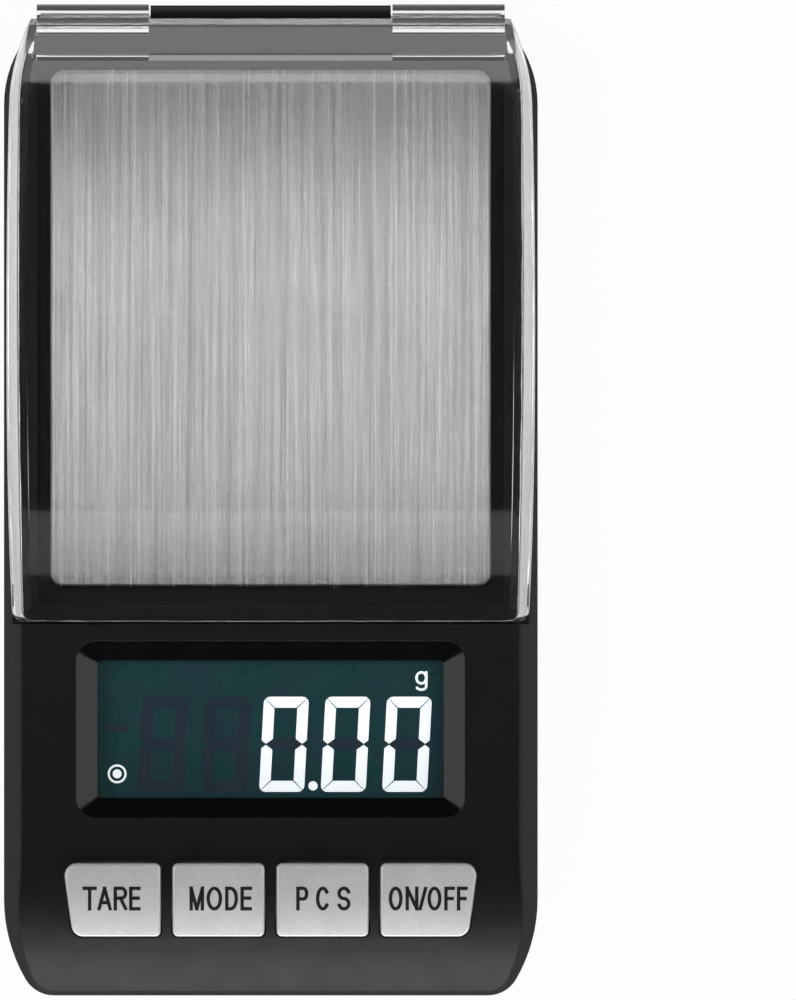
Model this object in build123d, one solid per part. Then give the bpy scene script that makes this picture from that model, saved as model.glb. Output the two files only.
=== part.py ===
from build123d import *
import math
import os

os.makedirs("parts", exist_ok=True)

# Pocket gram scale with a clear flip cover, on two AAA cells. Millimetres.
# The display and buttons are at the front (-Y), the cover's hinge at the rear (+Y), and
# the origin is under the middle of the scale, on the surface that it stands on.

# overall
length = 124.2
width = 66.9
height = 21.0
foot_height = 0.6

# housing, seen from above: corners of tangent arcs, (radius, degrees) from side to end
front_corner = [(20.1, 30), (4.1, 60)]
rear_corner = [(13.9, 40), (8.3, 50)]
saddle_corner = [(24.0, 26), (1.9, 64)]
hinge_overhang = 0.6
parting_height = 7.6
side_slope = 2.1 / 11.0
base_taper = 1.7
base_edge_radius = 1.2
crease_radius = 0.4
wall = 1.5
floor_thickness = 1.5
deck_wall = 1.3
lip_thickness = 0.7
lip_height = 0.4
slip = 0.12
screw_slip = 0.04

# deck: flat beside the display, then an arc down to the front
cover_above_deck = 2.4
deck_length = 46.55
slope_length = 20.1
slope_radius = 27.5

# saddle under the cover: rails arched along the sides, and a sunk tray for the pan
rail_drop = 3.9
rail_below_top = 7.5
tray_below_top = 10.1
tray_floor = 1.2
tray_side = 4.25
tray_front = 2.45
tray_wall = 1.3
tray_corner_radius = 1.0

# hinge
pin_radius = 0.8
pin_fit = 0.01
bore_fit = 0.05
lug_radius = 2.35
lug_inner = 15.25
lug_outer = 29.3
knuckle_radius = 2.2
knuckle_half = 15.05
notch_gap = 0.3
axis_below_top = 10.2
housing_back_from_axis = 0.85
ear_reach = 3.2
ear_root = 1.2
pin_end_inset = 0.5

# cover
cover_wall = 1.45
cover_front_wall = 1.25
cover_roof = 1.6
cover_gap = 0.25
cover_front_gap = 0.3
cover_top_inset_front = 2.4
cover_top_inset_rear = 1.95
cover_top_inset_middle = 1.8
cover_rim_inset = 0.2
cover_front_radius = 1.6
cover_edge_radius = 0.35
facet_run = 4.3
facet_fall = 7.0
facet_foot_rise = 0.5
facet_behind_axis = 0.35
catch_length = 2.8
catch_depth = 0.45
catch_height = 1.2
catch_from_front = 3.3
catch_from_tray_end = 22.4

# weighing platform and load cell
pan_below_top = 6.8
pan_gap = 1.6
pan_end_gap = 2.1
pan_sheet = 0.4
pan_skirt = 1.5
pan_corner_radius = 1.8
pan_edge_radius = 0.55
tape_thickness = 0.2
tape_width = 9.0
tape_end_gap = 6.0
carrier_thickness = 1.4
carrier_inset = 0.15
beam_length = 47.0
beam_width = 12.0
beam_height = 6.0
beam_hole_radius = 2.3
beam_hole_offset = 6.0
beam_neck = 2.6
beam_screw_outer = 19.5
beam_screw_inner = 12.5
spacer_thickness = 0.8
spacer_length = 14.0
boss_length = 13.0
boss_width = 11.0
boss_opening_gap = 2.0
stop_gap = 0.3
m3_radius = 1.5
m3_head_radius = 2.6
m3_sink = 1.2
m3_head_height = 1.5
gauge_thickness = 0.15
gauge_half_width = 2.6
gauge_half_length = 3.0
gauge_lead_radius = 0.25
gauge_lead_pitch = 0.62

# cells, bay and door
cell_radius = 5.25
cell_length = 44.5
cell_nub_length = 0.9
cell_nub_radius = 1.9
cell_spacing_gap = 0.3
cell_side_gap = 0.6
cell_floor_gap = 0.1
bay_wall = 1.2
bay_behind_deck_end = 1.85
contact_thickness = 0.3
contact_half_height = 4.4
contact_half_depth = 4.2
contact_tab_half = 0.6
contact_tab_rise = 1.0
contact_tab_length = 0.5
spring_space = 4.3
spring_radius = 2.6
spring_wire = 0.25
spring_pitch = 1.12
battery_lead_radius = 0.4
battery_lead_run = 1.6
door_thickness = 1.2
door_overlap = 0.8
door_rear_overlap = 0.4
door_gap = 0.15
door_corner_radius = 0.8
tab_length = 1.2
tab_thickness = 0.8
tab_width = 8.0
tab_offset = 15.0
ridge_pitch = 1.3
ridge_half = 7.0
ridge_height = 0.25
tongue_half = 5.0
tongue_thickness = 0.6
tongue_rise = 2.6

# display stack and board
board_below_deck = 5.2
board_thickness = 0.8
board_front_from_end = 10.1
board_screw_from_bay = 1.8
board_screw_half_gap = 14.0
board_screw_rear = 2.6
board_screw_front = 1.9
board_screw_radius = 0.8
board_head_radius = 1.45
board_head_height = 0.9
board_boss_radius = 1.6
board_edge = 1.7
window_behind_deck_end = 13.1
window_width = 43.3
window_depth = 17.2
window_radius = 0.5
bevel_side_margin = 2.7
bevel_end_margin = 2.5
bevel_rim = 1.1
bevel_radius = 2.5
bevel_drop = 1.1
lens_step = 0.7
lens_play = 0.2
glass_margin = 1.85
glass_thickness = 1.4
backlight_thickness = 1.0
zebra_depth = 1.4
frame_wall = 0.55

# buttons
button_depth = 9.2
button_middle_from_end = 12.1
button_half_rear = 25.95
button_half_front = 24.75
button_split = 13.0
button_gap = 1.5
button_rise = 0.65
button_play = 0.2
flange_gap = 0.25
flange_thickness = 0.55
flange_overlap = 0.45
button_outer_radius = 1.5
button_inner_radius = 0.7
button_edge_radius = 0.35
switch_width = 5.2
switch_depth = 3.6
switch_height = 1.0
switch_from_middle = 1.0
plunger_radius = 0.95
plunger_rise = 0.5
plunger_travel = 0.4
stem_radius = 1.5

# feet and housing screws
foot_radius = 4.0
foot_pocket = 0.6
foot_side = 9.45
foot_front = 8.1
foot_rear = 10.5
case_screw_side = 5.4
case_screw_front = 19.5
case_screw_rear = 23.5
case_boss_radius = 2.3
case_boss_bottom = 3.0
case_screw_radius = 1.0
case_head_radius = 1.9
case_head_height = 1.1
case_head_sink = 1.3

# places worked out from the sizes above
half_width = width / 2
front = -length / 2
rear = length / 2
axis_y = rear - lug_radius
axis_z = height - axis_below_top
housing_rear = rear - hinge_overhang
deck = height - cover_above_deck
deck_end = front + deck_length
slope_start = front + slope_length
slope_centre = deck - slope_radius
rail_end_z = height - rail_below_top
rail_mid_z = rail_end_z - rail_drop
tray_z = height - tray_below_top
tray_half = half_width - tray_side
tray_front_y = deck_end + tray_front
tray_rear_y = axis_y - tray_side
rail_rear_y = tray_rear_y + 0.1
rail_front_y = deck_end + cover_front_gap + cover_front_wall + 0.1
rail_mid_y = (rail_front_y + rail_rear_y) / 2
inner_floor = foot_height + floor_thickness
under_tray = tray_z - tray_floor
housing_back = axis_y - housing_back_from_axis
notch_y = axis_y - lug_radius - notch_gap
pan_z = height - pan_below_top
pan_half = tray_half - pan_gap
pan_front_y = tray_front_y + pan_end_gap
pan_rear_y = tray_rear_y - pan_gap
pan_y = (pan_front_y + pan_rear_y) / 2
beam_z = inner_floor + spacer_thickness
beam_top = beam_z + beam_height
beam_front_y = pan_y - beam_length / 2
carrier_top = pan_z - pan_sheet - tape_thickness
carrier_z = carrier_top - carrier_thickness
board_top = deck - board_below_deck
board_z = board_top - board_thickness
board_front_y = front + board_front_from_end
bay_rear_y = deck_end - bay_behind_deck_end
bay_front_y = bay_rear_y - 4 * cell_radius - cell_spacing_gap - 2 * cell_side_gap
bay_half = cell_length / 2 + spring_space / 2 + contact_thickness
door_top = foot_height + door_thickness
cell_z = door_top + cell_floor_gap + cell_radius
cell_rear_y = bay_rear_y - cell_side_gap - cell_radius
cell_front_y = cell_rear_y - 2 * cell_radius - cell_spacing_gap
window_y = deck_end - window_behind_deck_end
bevel_width = window_width + 2 * bevel_side_margin
bevel_depth = window_depth + 2 * bevel_end_margin
glass_width = window_width + 2 * glass_margin
glass_depth = window_depth + 2 * glass_margin
board_screw_x = bay_half + bay_wall + board_screw_from_bay
board_half_width = board_screw_x + board_edge
button_y = front + button_middle_from_end
switch_y = button_y + switch_from_middle


def block(x0, x1, y0, y1, z0, z1):
    """A square block between two corners."""
    return Pos((x0 + x1) / 2, (y0 + y1) / 2, (z0 + z1) / 2) * Box(x1 - x0, y1 - y0, z1 - z0)


def upright(x, y, z0, z1, radius):
    """A round bar standing along Z."""
    return Pos(x, y, (z0 + z1) / 2) * Cylinder(radius, z1 - z0)


def crossbar(x0, x1, y, z, radius):
    """A round bar lying along X."""
    return Pos((x0 + x1) / 2, y, z) * Rot(0, 90, 0) * Cylinder(radius, x1 - x0)


def rounded_plate(y, width_x, depth_y, radius, z0, z1):
    """A plate with rounded upright corners, centred on X."""
    return extrude(Pos(0, y, z0) * RectangleRounded(width_x, depth_y, radius), z1 - z0)


def side_prism(edges, half):
    """A solid with a constant outline in the YZ plane, reaching half each way along X."""
    return extrude(Plane.YZ * make_face(edges), half, both=True)


def polygon_prism(points, x0, x1):
    """A solid with a polygon outline in the YZ plane, from x0 to x1."""
    return Pos(x0, 0, 0) * extrude(Plane.YZ * make_face(Polyline(*points, close=True)), x1 - x0)


def shrunk(arcs, inset):
    """Corner arcs moved inwards by a distance."""
    return [(radius - inset, degrees) for radius, degrees in arcs]


def corner(half, end, arcs):
    """(start, middle, end) of each arc of a corner, from a side at +half to an end at +end."""
    turned = 0.0
    reach = 0.0
    for radius, degrees in arcs:
        next_turned = turned + degrees
        reach += radius * (math.sin(math.radians(next_turned)) - math.sin(math.radians(turned)))
        turned = next_turned
    point = (half, end - reach)
    turned = 0.0
    spans = []
    for radius, degrees in arcs:
        start = math.radians(turned)
        centre = (point[0] - radius * math.cos(start), point[1] - radius * math.sin(start))
        ends = []
        for share in (0.5, 1.0):
            angle = math.radians(turned + share * degrees)
            ends.append((centre[0] + radius * math.cos(angle), centre[1] + radius * math.sin(angle)))
        spans.append((point, ends[0], ends[1]))
        point = ends[1]
        turned += degrees
    return spans


def plan(z, halves, ends, front_arcs, rear_arcs):
    """A plan outline as a face: halves are the half widths (front, middle, rear)."""
    half_front, half_middle, half_rear = halves
    end_front, end_rear = ends
    back = corner(half_rear, end_rear, rear_arcs)
    fore = [[(x, -y) for x, y in span] for span in corner(half_front, -end_front, front_arcs)]
    middle_y = (back[0][0][1] + fore[0][0][1]) / 2

    def flip(point):
        return (-point[0], point[1])

    def side(start, end, middle):
        if half_front == half_middle == half_rear:
            return Line(start, end)
        return ThreePointArc(start, middle, end)

    edges = [ThreePointArc(*span) for span in back]
    edges.append(Line(back[-1][2], flip(back[-1][2])))
    edges += [ThreePointArc(flip(c), flip(b), flip(a)) for a, b, c in reversed(back)]
    edges.append(side(flip(back[0][0]), flip(fore[0][0]), (-half_middle, middle_y)))
    edges += [ThreePointArc(flip(a), flip(b), flip(c)) for a, b, c in fore]
    edges.append(Line(flip(fore[-1][2]), fore[-1][2]))
    edges += [ThreePointArc(c, b, a) for a, b, c in reversed(fore)]
    edges.append(side(fore[0][0], back[0][0], (half_middle, middle_y)))
    return Pos(0, 0, z) * make_face(edges).face()


def housing_plan(z, inset, rear_arcs):
    """The housing's outline at a height, drawn in by an inset."""
    half = half_width - inset
    ends = (front + inset, housing_rear - inset)
    return plan(z, (half, half, half), ends, shrunk(front_corner, inset), rear_arcs)


def slope_z(radius, y):
    """Height of an arc concentric with the front slope."""
    return slope_centre + math.sqrt(radius**2 - (y - slope_start) ** 2)


def deck_profile(drop, rear_y):
    """Side outline of everything lower than the deck by a drop, as far back as rear_y."""
    radius = slope_radius - drop
    end_y = front + drop - 0.5
    middle_y = (slope_start + end_y) / 2
    start = (end_y, slope_z(radius, end_y))
    top = (slope_start, deck - drop)
    return [
        ThreePointArc(start, (middle_y, slope_z(radius, middle_y)), top),
        Polyline(top, (rear_y, deck - drop), (rear_y, 0), (end_y, 0), start),
    ]


def rail_profile(lift, rear_y, top_z):
    """Side outline of everything above the arched rails, lifted by a gap."""
    level = rail_end_z + lift
    start = (rail_front_y, level)
    end = (rail_rear_y, level)
    return [
        ThreePointArc(start, (rail_mid_y, rail_mid_z + lift), end),
        Polyline(end, (rear_y, level), (rear_y, top_z), (deck_end, top_z), (deck_end, level), start),
    ]


def facet_point(z, inset):
    """Y of the cover's sloping rear face at a height, moved inwards by an inset."""
    slant = math.hypot(facet_run, facet_fall)
    base_y = axis_y + facet_behind_axis + facet_run * (rail_end_z + facet_foot_rise - z) / facet_fall
    return base_y - inset * slant / facet_fall


def case_screw_places():
    """Plan positions of the four screws that hold the housing together."""
    side = half_width - case_screw_side
    rows = (front + case_screw_front, rear - case_screw_rear)
    return [(sign * side, y) for y in rows for sign in (-1, 1)]


def board_screw_places():
    """Plan positions of the four screws that hold the board under the deck."""
    rear_y = bay_rear_y - board_screw_rear
    front_y = bay_front_y - bay_wall - board_screw_front
    places = [(sign * board_screw_x, rear_y) for sign in (-1, 1)]
    return places + [(sign * board_screw_half_gap, front_y) for sign in (-1, 1)]


def screw(head_radius, head_height, shank_radius, shank_length, sunk=False):
    """A cross-head screw with its head below z = 0 and its shank above."""
    if sunk:
        head = Pos(0, 0, -head_height / 2) * Cone(head_radius, shank_radius, head_height)
    else:
        head = Pos(0, 0, -head_height / 2) * Cylinder(head_radius, head_height)
    shape = head + upright(0, 0, -0.1, shank_length, shank_radius)
    slot = head_radius * 0.62
    depth = head_height * 0.55
    bottom = -head_height
    shape -= block(-slot, slot, -0.2, 0.2, bottom - 1, bottom + depth)
    shape -= block(-0.2, 0.2, -slot, slot, bottom - 1, bottom + depth)
    return shape


def lead(points, radius):
    """A round wire along straight runs joined by arcs as large as the runs allow."""
    vectors = [Vector(*point) for point in points]
    radii = []
    for before, here, after in zip(vectors, vectors[1:], vectors[2:]):
        into = here - before
        out = after - here
        turn = math.radians(into.get_angle(out))
        radii.append(0.45 * min(into.length, out.length) / math.tan(turn / 2))
    path = FilletPolyline(*points, radius=radii)
    return sweep(Plane(origin=path @ 0, z_dir=path % 0) * Circle(radius), path=path)


def save(node, *bodies):
    """Write one node: a single solid, or a group of like solids."""
    solids = [solid for body in bodies for solid in body.solids()]
    shape = solids[0] if len(solids) == 1 else Compound(solids)
    export_step(shape, f"parts/{node}.step")


def relief():
    """The room behind the housing that the cover swings down into."""
    over = 12.0
    top = parting_height
    run = facet_run / facet_fall
    points = [
        (housing_back, over + top),
        (housing_back, top),
        (housing_back + run * top, 0.0),
        (housing_back + over + top, 0.0),
        (housing_back + over + top, over + top),
    ]
    return polygon_prism(points, -width, width)


def base_shell():
    """Lower housing: a tray with the battery bay, the load cell's seat and screw bosses."""
    low_inset = base_taper * (parting_height - inner_floor) / (parting_height - foot_height)
    outer_low = housing_plan(foot_height, base_taper, shrunk(rear_corner, base_taper))
    outer_top = housing_plan(parting_height, 0.0, rear_corner)
    shell = loft([outer_low, outer_top], ruled=True)
    shell = fillet(shell.edges().group_by(Axis.Z)[0], base_edge_radius)
    low = housing_plan(inner_floor, low_inset + wall, shrunk(rear_corner, low_inset + wall))
    high = housing_plan(parting_height, wall, shrunk(rear_corner, wall))
    hollow = loft([low, high], ruled=True)
    hollow &= block(-width, width, front, tray_rear_y + 0.1, 0, height)
    shell -= hollow
    shell -= relief()

    # locating lip inside the joint line
    lip_inset = wall + slip
    lip_plans = []
    for inset in (lip_inset, lip_inset + lip_thickness):
        lip_plans.append(housing_plan(parting_height - 1.0, inset, shrunk(rear_corner, inset)))
    lip = extrude(lip_plans[0], 1.0 + lip_height) - extrude(lip_plans[1], 1.0 + lip_height)
    lip &= block(-width, width, front, tray_rear_y - 0.3, 0, height)
    shell += lip & (hollow + block(-width, width, front, rear, parting_height, height))
    lip_wall = housing_plan(parting_height - 1.0, wall, shrunk(rear_corner, wall))
    bridge = extrude(lip_wall, 1.0) - extrude(lip_plans[0], 1.0)
    shell += bridge & block(-width, width, front, tray_rear_y - 0.3, 0, height)

    # battery bay
    outer = bay_half + bay_wall
    bay_front = bay_front_y - bay_wall
    shell += block(-outer, outer, bay_front, bay_rear_y + bay_wall, foot_height, under_tray - 0.2)
    shell += block(-outer, outer, bay_front, bay_rear_y, inner_floor, board_z - 0.1)

    for x, y in case_screw_places():
        shell += upright(x, y, inner_floor - 0.5, case_boss_bottom, case_boss_radius + 0.5)
        head_room = foot_height + case_head_sink
        shell -= upright(x, y, 0, head_room, case_head_radius + 0.2)
        shell -= upright(x, y, 0, height, case_screw_radius + 0.2)

    shell -= block(-bay_half, bay_half, bay_front_y, bay_rear_y, 0, height)
    half = bay_half + door_overlap + door_gap
    rebate_front = bay_front_y - door_rear_overlap - 2 * door_gap
    rebate_rear = bay_rear_y + door_rear_overlap + door_gap
    shell -= block(-half, half, rebate_front, rebate_rear, 0, door_top)

    # slots for the door's tabs and for the solder ends of the contacts
    tab_room = tab_width / 2 + 0.25
    tab_top = inner_floor + 0.1 + tab_thickness + 0.7
    for x in (-tab_offset, tab_offset):
        x0, x1 = x - tab_room, x + tab_room
        shell -= block(x0, x1, bay_rear_y - 0.1, rebate_rear, door_top - 0.1, tab_top)
        shell -= block(x0, x1, bay_rear_y, bay_rear_y + bay_wall + 0.1, inner_floor, tab_top)
    for y in (cell_rear_y, cell_front_y):
        shell -= block(-outer - 0.1, -bay_half + 0.1, y - 0.75, y + 0.75, cell_z + 0.7, cell_z + 1.3)

    # load cell seat: countersunk screws from below, and the overload stop
    for offset in (beam_screw_outer, beam_screw_inner):
        y = pan_y - offset
        shell -= upright(0, y, 0, height, m3_radius + 0.15)
        cone_top = foot_height + 0.15 + m3_sink
        sink = Cone(m3_head_radius + 0.1, m3_radius + 0.1, m3_sink)
        shell -= Pos(0, y, cone_top - m3_sink / 2) * sink
        shell -= upright(0, y, 0, foot_height + 0.15, m3_head_radius + 0.1)
    shell -= upright(0, pan_y + beam_screw_outer, 0, height, m3_radius + screw_slip)

    for x, y in foot_places():
        shell -= upright(x, y, 0, foot_height + foot_pocket, foot_radius)
    return shell


def foot_places():
    """Plan positions of the four feet."""
    side = half_width - foot_side
    return [(sign * side, y) for y in (front + foot_front, rear - foot_rear) for sign in (-1, 1)]


def top_shell():
    """Upper housing: display deck, button slots, arched rails, pan tray and hinge knuckle."""
    mid_z = rail_end_z
    mid_inset = side_slope * (mid_z - parting_height)
    top_inset = side_slope * (deck - parting_height)

    def sections(extra):
        """Outlines up the housing, drawn in by an extra inset."""
        rear_arcs = shrunk(saddle_corner, extra)
        return [
            housing_plan(parting_height, extra, shrunk(rear_corner, extra)),
            housing_plan(mid_z, mid_inset + extra, rear_arcs),
            housing_plan(deck, top_inset + extra, rear_arcs),
        ]

    shell = loft(sections(0.0), ruled=True) & side_prism(deck_profile(0.0, rear), width)
    top_faces = [face for face in shell.faces() if face.normal_at().Z > 0.5]
    seam = [edge for face in top_faces for edge in face.edges()]
    rim = [edge for edge in seam if seam.count(edge) == 1]
    shell = fillet(rim, crease_radius)

    # saddle and tray
    shell -= side_prism(rail_profile(0.0, rear + 5, height + 5), width)
    upstand = tray_half + tray_wall
    shell += block(-upstand, upstand, deck_end - 1, notch_y, under_tray, rail_end_z)
    shell -= block(-width, width, housing_back, rear + 5, 0, height)
    tray_y = (tray_front_y + tray_rear_y) / 2
    tray_length = tray_rear_y - tray_front_y
    shell -= rounded_plate(tray_y, 2 * tray_half, tray_length, tray_corner_radius, tray_z, height)

    # hollow from below
    hollow = loft(sections(wall), ruled=True)
    step_y = deck_end - wall
    shell -= hollow & side_prism(deck_profile(deck_wall, step_y), width)
    rim_room = rail_mid_z - wall
    inner_half = tray_half - 0.2
    shell -= hollow & block(-width, width, step_y - 1, tray_rear_y + 0.1, 0, rim_room)
    shell -= block(-inner_half, inner_half, step_y - 0.1, tray_rear_y + 0.1, 0, under_tray)

    # room for the cover's lugs, then the knuckle between them
    for side in (-1, 1):
        x0, x1 = sorted((side * (lug_inner - 0.2), side * (lug_outer + 0.25)))
        shell -= crossbar(x0, x1, axis_y, axis_z, lug_radius + notch_gap)
        shell -= block(x0, x1, notch_y, rear + 5, axis_z, height)
        shell -= block(x0, x1, housing_back - 0.6, rear + 5, parting_height, height)
    knuckle_top = axis_z + knuckle_radius
    web = block(-knuckle_half, knuckle_half, tray_rear_y, housing_back, parting_height, knuckle_top)
    shell += web
    shell += crossbar(-knuckle_half, knuckle_half, axis_y, axis_z, knuckle_radius)
    shell -= crossbar(-lug_outer, lug_outer, axis_y, axis_z, pin_radius + pin_fit)

    # opening for the platform's boss
    gap = boss_opening_gap
    boss_y = pan_y + (beam_screw_outer + beam_screw_inner) / 2
    half_x = boss_width / 2 + gap
    half_y = boss_length / 2 + gap
    shell -= block(-half_x, half_x, boss_y - half_y, boss_y + half_y, under_tray - 1, tray_z + 1)

    # display window
    lens_top = deck - bevel_drop
    frame_z = lens_top - 0.1 - lens_step
    half_frame = bevel_width / 2 + bevel_rim
    frame_y = window_y - bevel_depth / 2 - bevel_rim
    under_deck = deck - deck_wall
    rear_y = step_y + 0.1
    shell += block(-half_frame, half_frame, frame_y, rear_y, frame_z, under_deck + 0.1)
    shell -= rounded_plate(window_y, window_width, window_depth, window_radius, frame_z - 1, height)
    sill = Pos(0, window_y, lens_top) * RectangleRounded(window_width, window_depth, window_radius)
    brim = Pos(0, window_y, deck) * RectangleRounded(bevel_width, bevel_depth, bevel_radius)
    shell -= loft([sill.face(), brim.face()], ruled=True)

    for outline in button_outlines():
        opening = offset(outline, amount=button_play, kind=Kind.ARC)
        shell -= extrude(Pos(0, 0, under_tray) * opening, height)

    # screw bosses
    for x, y in case_screw_places():
        top = under_deck + 0.1 if y < deck_end else under_tray + 0.1
        shell += upright(x, y, case_boss_bottom, top, case_boss_radius)
        shell -= upright(x, y, 0, top - 1.5, case_screw_radius + screw_slip)
    for x, y in board_screw_places():
        top = deck_underside(y) + 0.1
        shell += upright(x, y, board_top, top, board_boss_radius)
        shell -= upright(x, y, board_top - 1, top - 1.2, board_screw_radius + screw_slip)
    return shell


def deck_underside(y):
    """Height of the inside of the deck at a place along Y."""
    if y > slope_start:
        return deck - deck_wall
    return slope_z(slope_radius - deck_wall, y)


def cover():
    """Clear cover: a shallow box with a sloping rear face and two hinge lugs."""
    rim_z = rail_mid_z - 0.6
    rim_half = half_width - cover_rim_inset
    rear_y = housing_rear - 0.4
    front_y = deck_end + cover_front_gap
    top = (
        half_width - cover_top_inset_front,
        half_width - cover_top_inset_middle,
        half_width - cover_top_inset_rear,
    )
    corners = [(cover_front_radius, 90)]

    def box(extra, front_extra, top_z):
        """The cover's outline from rim to top, drawn in by a wall."""
        ends = (front_y + front_extra, rear_y - extra)
        fore = shrunk(corners, front_extra)
        aft = shrunk(saddle_corner, extra)
        share = (top_z - rim_z) / (height - rim_z)
        halves = [rim_half - extra - share * (rim_half - half) for half in top]
        low = [rim_half - extra - 0.01 * (2 - abs(2 - 2 * i)) for i in range(3)]
        return loft([plan(rim_z, low, ends, fore, aft), plan(top_z, halves, ends, fore, aft)], ruled=True)

    shell = box(0.0, 0.0, height)
    shell = fillet(shell.edges().group_by(Axis.Z)[-1], cover_edge_radius)
    far = rear + 5
    outer_facet = [
        (facet_point(height + 5, 0), height + 5),
        (facet_point(0, 0), 0),
        (far + 20, 0),
        (far + 20, height + 5),
    ]
    shell -= polygon_prism(outer_facet, -width, width)
    shell &= side_prism(rail_profile(cover_gap, far, height + 1), width)

    ceiling = height - cover_roof
    hollow = box(cover_wall, cover_front_wall, ceiling)
    inner_facet = [
        (facet_point(height, cover_roof), height),
        (facet_point(0, cover_roof), 0),
        (far + 20, 0),
        (far + 20, height),
    ]
    hollow -= polygon_prism(inner_facet, -width, width)
    shell -= hollow

    # hinge lugs, each a rounded ear that hangs from the sloping rear face
    reach_z = axis_z + ear_reach
    corner_y = facet_point(reach_z, 0)
    distance = math.hypot(corner_y - axis_y, reach_z - axis_z)
    angle = math.atan2(reach_z - axis_z, corner_y - axis_y) - math.acos(lug_radius / distance)
    tangent = (axis_y + lug_radius * math.cos(angle), axis_z + lug_radius * math.sin(angle))
    root_z = reach_z + ear_root
    ear = [
        (axis_y - lug_radius, axis_z),
        (axis_y - lug_radius, root_z),
        (facet_point(root_z, 0.3), root_z),
        (corner_y, reach_z),
        tangent,
        (axis_y, axis_z),
    ]
    for side in (-1, 1):
        x0, x1 = sorted((side * lug_inner, side * lug_outer))
        shell += crossbar(x0, x1, axis_y, axis_z, lug_radius)
        shell += polygon_prism(ear, x0, x1)
    shell -= crossbar(-width, width, axis_y, axis_z, pin_radius + bore_fit)
    clearance = knuckle_radius + notch_gap
    shell -= crossbar(-lug_inner, lug_inner, axis_y, axis_z, clearance)

    # catches inside the side walls, which steady the closed cover on the tray's upstand
    for y in (front_y + catch_from_front, tray_rear_y - catch_from_tray_end):
        for side in (-1, 1):
            inner = half_width - cover_rim_inset - cover_wall
            low = rail_mid_z + rail_drop * ((y - rail_mid_y) / (rail_rear_y - rail_mid_y)) ** 2 + 0.6
            x0, x1 = sorted((side * (inner - catch_depth - 0.15), side * (inner + 0.5)))
            y0, y1 = y - catch_length / 2, y + catch_length / 2
            shell += block(x0, x1, y0, y1, low, low + catch_height)
    return shell


def button_outlines():
    """Plan outlines of the four buttons, from left to right."""
    y0 = button_y - button_depth / 2
    y1 = button_y + button_depth / 2
    gap = button_gap / 2
    inner_x = [-button_split - gap, -button_split + gap, -gap, gap, button_split - gap, button_split + gap]
    rear_x = [-button_half_rear, *inner_x, button_half_rear]
    front_x = list(rear_x)
    front_x[0] = -button_half_front
    front_x[-1] = button_half_front
    outlines = []
    for i in range(0, 8, 2):
        corners = [(front_x[i], y0), (front_x[i + 1], y0), (rear_x[i + 1], y1), (rear_x[i], y1)]
        outline = make_face(Polyline(*corners, close=True))
        left = button_outer_radius if i == 0 else button_inner_radius
        right = button_outer_radius if i == 6 else button_inner_radius
        outline = fillet(outline.vertices().sort_by(Axis.X)[:2], left)
        outline = fillet(outline.vertices().sort_by(Axis.X)[-2:], right)
        outlines.append(outline)
    return outlines


def button_middles():
    """X of each button's middle."""
    outer = (button_half_rear + button_split + button_gap / 2) / 2
    inner = button_split / 2
    return [-outer, -inner, inner, outer]


def button(outline, x):
    """A cap that follows the front slope, with a flange under the deck and a short stem."""

    def slice_of(shape, low, high):
        """The part of an upright prism between two arcs concentric with the slope."""
        prism = extrude(Pos(0, 0, under_tray) * shape, height)
        outer = crossbar(-width, width, slope_start, slope_centre, high)
        inner = crossbar(-width, width, slope_start, slope_centre, low)
        return (prism & outer) - inner

    inside = slope_radius - deck_wall
    flange_top = inside - flange_gap
    flange_low = flange_top - flange_thickness
    cap = slice_of(outline, flange_low, slope_radius + button_rise)
    crown = cap.faces().sort_by(Axis.Z)[-1]
    cap = fillet(crown.edges(), button_edge_radius)
    cap += slice_of(offset(outline, amount=flange_overlap, kind=Kind.ARC), flange_low, flange_top)
    stem_z = board_top + switch_height + plunger_rise
    return cap + upright(x, switch_y, stem_z, slope_z(flange_top - 0.1, switch_y), stem_radius)


def cell(direction, y):
    """A AAA cell whose raised contact points along X in the given direction."""
    end = direction * (bay_half - contact_thickness)
    shoulder = end - direction * cell_nub_length
    tail = end - direction * cell_length
    body = crossbar(*sorted((shoulder, tail)), y, cell_z, cell_radius)
    body = fillet(body.edges(), 0.4)
    return body + crossbar(*sorted((end, shoulder - direction)), y, cell_z, cell_nub_radius)


def contact_spring(direction, y):
    """A coil spring between a cell's flat end and the contact on that side."""
    free = spring_space - 2 * spring_wire - 0.1
    coil = Helix(pitch=spring_pitch, height=free, radius=spring_radius)
    profile = Plane(origin=coil @ 0, z_dir=coil % 0) * Circle(spring_wire)
    wire = sweep(profile, path=coil, is_frenet=True)
    start = bay_half - contact_thickness - spring_wire - 0.05
    return Pos(direction * start, y, cell_z) * Rot(0, -90 * direction, 0) * wire


# housing
save("base_shell", base_shell())
save("top_shell", top_shell())
foot_top = foot_height + foot_pocket
save("rubber_feet", *[upright(x, y, 0, foot_top, foot_radius - 0.05) for x, y in foot_places()])
case_length = under_tray - 1.9 - case_boss_bottom
case_screws = []
for place_x, place_y in case_screw_places():
    fastener = screw(case_head_radius, case_head_height, case_screw_radius, case_length)
    case_screws.append(Pos(place_x, place_y, foot_height + case_head_sink) * fastener)
save("housing_screws", *case_screws)

# cover and hinge
save("flip_cover", cover())
pin_half = lug_outer - pin_end_inset
save("hinge_pin", crossbar(-pin_half, pin_half, axis_y, axis_z, pin_radius))

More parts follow.
